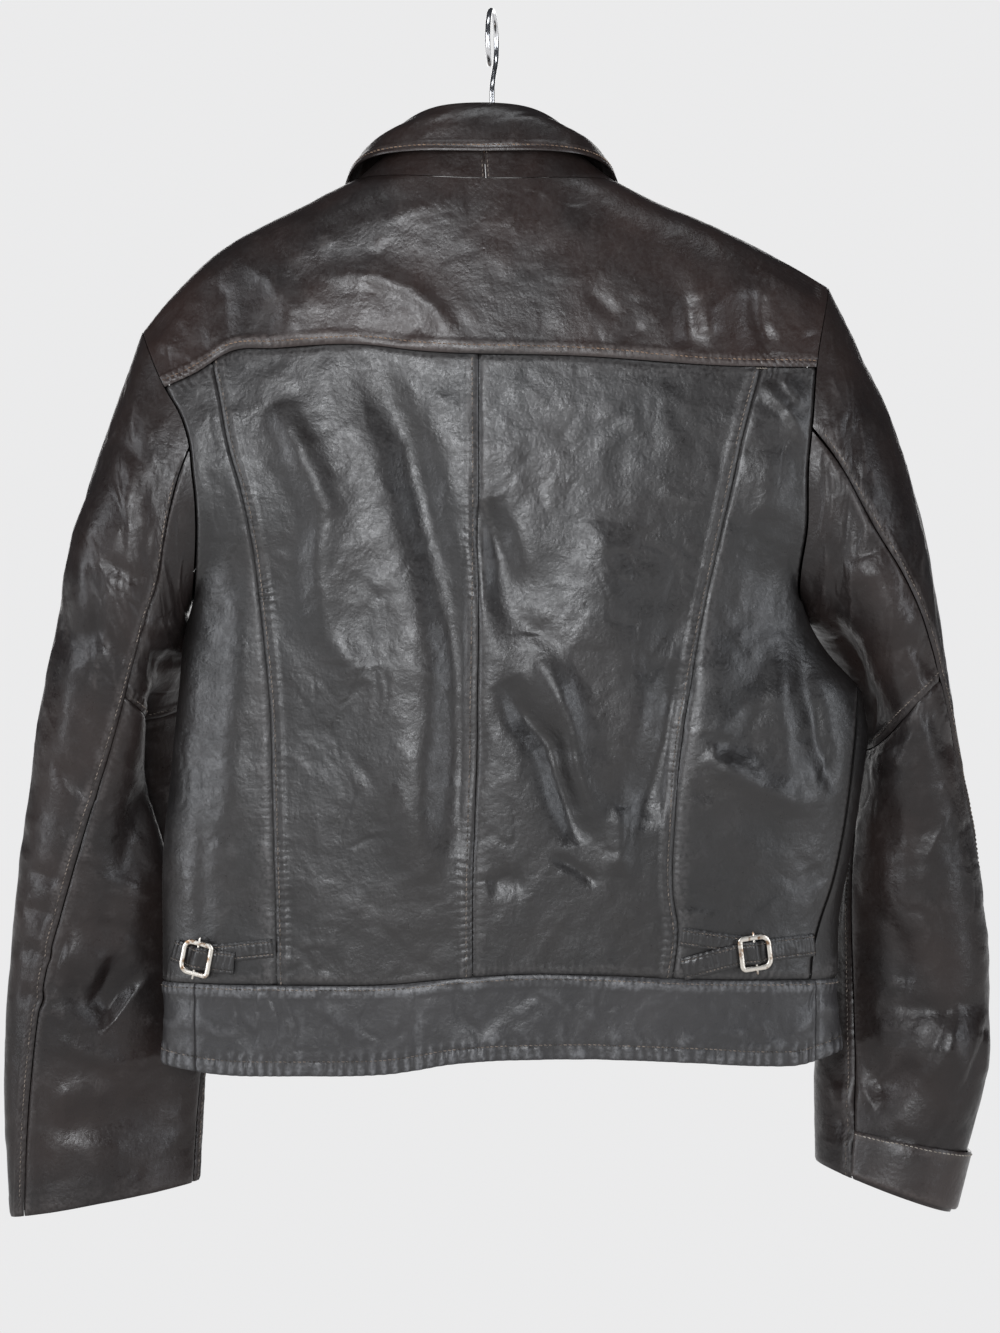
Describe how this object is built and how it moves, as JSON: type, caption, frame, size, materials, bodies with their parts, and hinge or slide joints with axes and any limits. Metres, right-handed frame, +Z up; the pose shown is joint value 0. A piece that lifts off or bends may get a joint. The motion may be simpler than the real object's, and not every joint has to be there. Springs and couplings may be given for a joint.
{
  "type": "leather jacket on a hanger",
  "caption": "Waist-length leather jacket hung on a hanger: turned-down collar, back yoke, panelled back, waistband, side adjuster straps with slide buckles, one turned-up cuff.",
  "frame": {"origin": "the point where the hanger's hook bears on its rail: the top of the hook's inside", "axes": "+Z up; the jacket's back faces -Y and its front +Y; +X towards the wearer's right"},
  "size_m": [0.6764, 0.1543, 0.8243],
  "materials": {
    "leather": "worn, semi-gloss",
    "worn_leather": "scuffed, low gloss",
    "nickel": "tarnished nickel plate",
    "horn": "dull",
    "hanger_wood": "satin varnish",
    "chrome": "polished"
  },
  "bodies": {
    "root": {"anchor_left": "leather", "anchor_right": "leather", "back_left": "leather", "back_right": "leather", "back_yoke": "leather", "collar_fall": "leather", "collar_stand_left": "leather", "collar_stand_right": "leather", "cuff_right_turnup": "leather", "front_left": "leather", "front_right": "leather", "side_left": "leather", "side_right": "leather", "sleeve_left_top": "leather", "sleeve_left_under_lower": "leather", "sleeve_left_under_upper": "leather", "sleeve_right_top": "leather", "sleeve_right_under_lower": "leather", "sleeve_right_under_upper": "leather", "strap_left": "leather", "strap_right": "leather", "band_back": "worn_leather", "band_left": "worn_leather", "band_right": "worn_leather", "buckle_left": "nickel", "buckle_right": "nickel", "button_1": "horn", "button_2": "horn", "button_3": "horn", "button_4": "horn", "button_5": "horn", "hanger_body": "hanger_wood", "hanger_hook": "chrome"}
  },
  "joints": []
}
